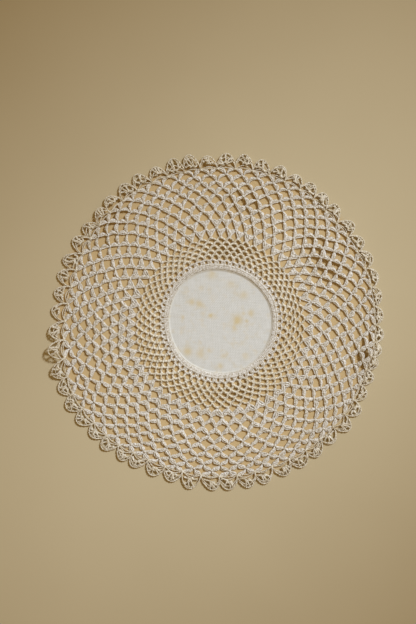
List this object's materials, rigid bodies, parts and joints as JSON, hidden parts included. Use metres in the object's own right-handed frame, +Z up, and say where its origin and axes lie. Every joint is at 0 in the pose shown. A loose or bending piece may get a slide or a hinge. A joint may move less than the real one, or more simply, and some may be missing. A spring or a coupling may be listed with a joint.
{
  "type": "lace doily",
  "caption": "Round crocheted table mat: a hemmed linen centre in a net of thread clusters with a scalloped edge, laid flat to protect or dress a table top.",
  "frame": {"origin": "middle of the linen centre's underside, on the table", "axes": "+Z up, out of the face that shows; +X to the right and +Y away from the viewer, as the doily lies in front of them"},
  "size_m": [0.3486, 0.3495, 0.0079],
  "materials": {
    "linen": "plain woven linen, bleached, with a few pale tan age spots",
    "white_thread": "twisted crochet cotton, greyish off-white, matt",
    "cream_thread": "twisted crochet cotton, warm cream, matt"
  },
  "bodies": {
    "root": {"linen_centre": "linen", "loop_net": "cream_thread", "cluster_net": "white_thread", "scallop_edging": "cream_thread"}
  },
  "joints": []
}
